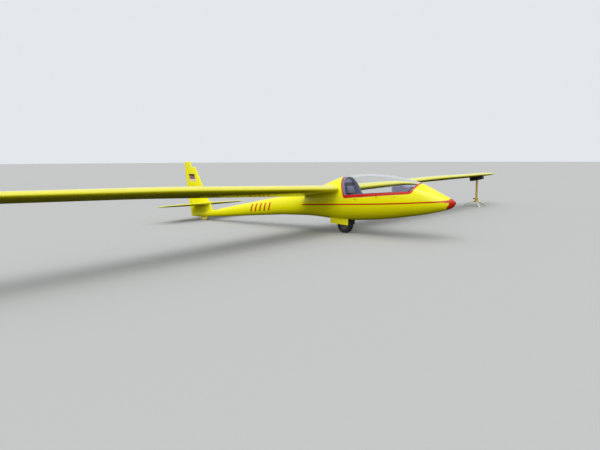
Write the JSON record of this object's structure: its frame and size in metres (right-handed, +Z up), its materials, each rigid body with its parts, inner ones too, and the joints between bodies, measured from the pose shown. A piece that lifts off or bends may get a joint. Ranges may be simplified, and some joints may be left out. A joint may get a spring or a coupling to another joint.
{
  "type": "sailplane glider",
  "caption": "Single-seat sailplane in yellow gelcoat, parked on its main wheel and tail skid with the left wing resting on a padded tripod stand.",
  "frame": {"origin": "centre of the bounding box at ground level, under the middle of the length and the span", "axes": "+X towards the nose, +Y towards the left wing tip, +Z up"},
  "size_m": [6.32, 15, 1.267],
  "materials": {
    "yellow_gelcoat": "gloss yellow gelcoat over moulded glass fibre",
    "red_gelcoat": "gloss red paint",
    "canopy_glass": "clear blown acrylic",
    "upholstery": "dark blue-grey cloth",
    "cockpit_shell": "speckled grey cockpit paint",
    "black_plastic": "matt black",
    "pad_foam": "black covered foam",
    "tyre_rubber": "worn black rubber",
    "alloy": "cast alloy, dull",
    "steel": "plain steel",
    "stand_yellow": "orange-yellow paint, worn",
    "stand_cream": "pale cream paint, worn"
  },
  "bodies": {
    "root": {"nose_cone": "red_gelcoat", "front_moulding": "yellow_gelcoat", "centre_moulding": "yellow_gelcoat", "tail_boom": "yellow_gelcoat", "fin": "yellow_gelcoat", "wing_left": "yellow_gelcoat", "wing_right": "yellow_gelcoat", "air_brake_cap_left": "yellow_gelcoat", "air_brake_cap_right": "yellow_gelcoat", "tailplane_left": "yellow_gelcoat", "tailplane_right": "yellow_gelcoat", "axle": "steel", "gear_fork": "black_plastic", "gear_door_left": "yellow_gelcoat", "gear_door_right": "yellow_gelcoat", "skid_block": "yellow_gelcoat", "skid_shoe": "steel", "rear_bulkhead": "upholstery", "seat_pan": "cockpit_shell", "seat_back": "upholstery", "headrest": "upholstery", "instrument_panel": "black_plastic", "control_stick": "black_plastic", "rudder_pedal_left": "alloy", "rudder_pedal_right": "alloy", "canopy_hinge_base_1": "yellow_gelcoat", "canopy_hinge_base_2": "yellow_gelcoat", "stand_pad": "pad_foam", "stand_cradle": "steel", "stand_pole": "stand_yellow", "stand_hub": "stand_yellow", "stand_knob": "black_plastic", "stand_leg_1": "stand_cream", "stand_leg_2": "stand_cream", "stand_leg_3": "stand_cream"},
    "canopy": {"canopy_frame": "red_gelcoat", "canopy_glass": "canopy_glass", "canopy_hinge_leaf_1": "red_gelcoat", "canopy_hinge_leaf_2": "red_gelcoat"},
    "main_wheel": {"tyre": "tyre_rubber", "wheel_hub": "alloy"},
    "rudder": {"rudder": "yellow_gelcoat"},
    "elevator": {"elevator_left": "yellow_gelcoat", "elevator_right": "yellow_gelcoat", "elevator_tube": "steel"},
    "aileron_left": {"aileron_left": "yellow_gelcoat"},
    "aileron_right": {"aileron_right": "yellow_gelcoat"}
  },
  "joints": [
    {"name": "canopy_hinge", "type": "hinge", "parent": "root", "child": "canopy", "pos_m": [1.685, -0.296, 0.681], "axis": [0.9954, 0.0096, 0.0957], "range_deg": [0, 85]},
    {"name": "wheel_spin", "type": "hinge", "parent": "root", "child": "main_wheel", "pos_m": [1.11, -0.0096, 0.15023], "axis": [0, 0.9999, -0.012], "continuous": true},
    {"name": "rudder_hinge", "type": "hinge", "parent": "root", "child": "rudder", "pos_m": [-2.92891, -0.0042, 0.6002], "axis": [-0.1189, 0.0119, 0.9928], "range_deg": [-30, 30]},
    {"name": "elevator_hinge", "type": "hinge", "parent": "root", "child": "elevator", "pos_m": [-2.7, -0.0075, 0.32503], "axis": [0, 0.9999, -0.012], "range_deg": [-22, 25]},
    {"name": "aileron_left_hinge", "type": "hinge", "parent": "root", "child": "aileron_left", "pos_m": [0.67925, 5.55079, 0.77471], "axis": [0.0333, 0.9994, 0.0083], "range_deg": [-20, 20]},
    {"name": "aileron_right_hinge", "type": "hinge", "parent": "root", "child": "aileron_right", "pos_m": [0.67925, -5.55341, 0.90797], "axis": [-0.0333, 0.9989, -0.0323], "range_deg": [-20, 20]}
  ],
  "couplings": [
    {"joint": "aileron_right_hinge", "follows": "aileron_left_hinge", "ratio": -1}
  ]
}
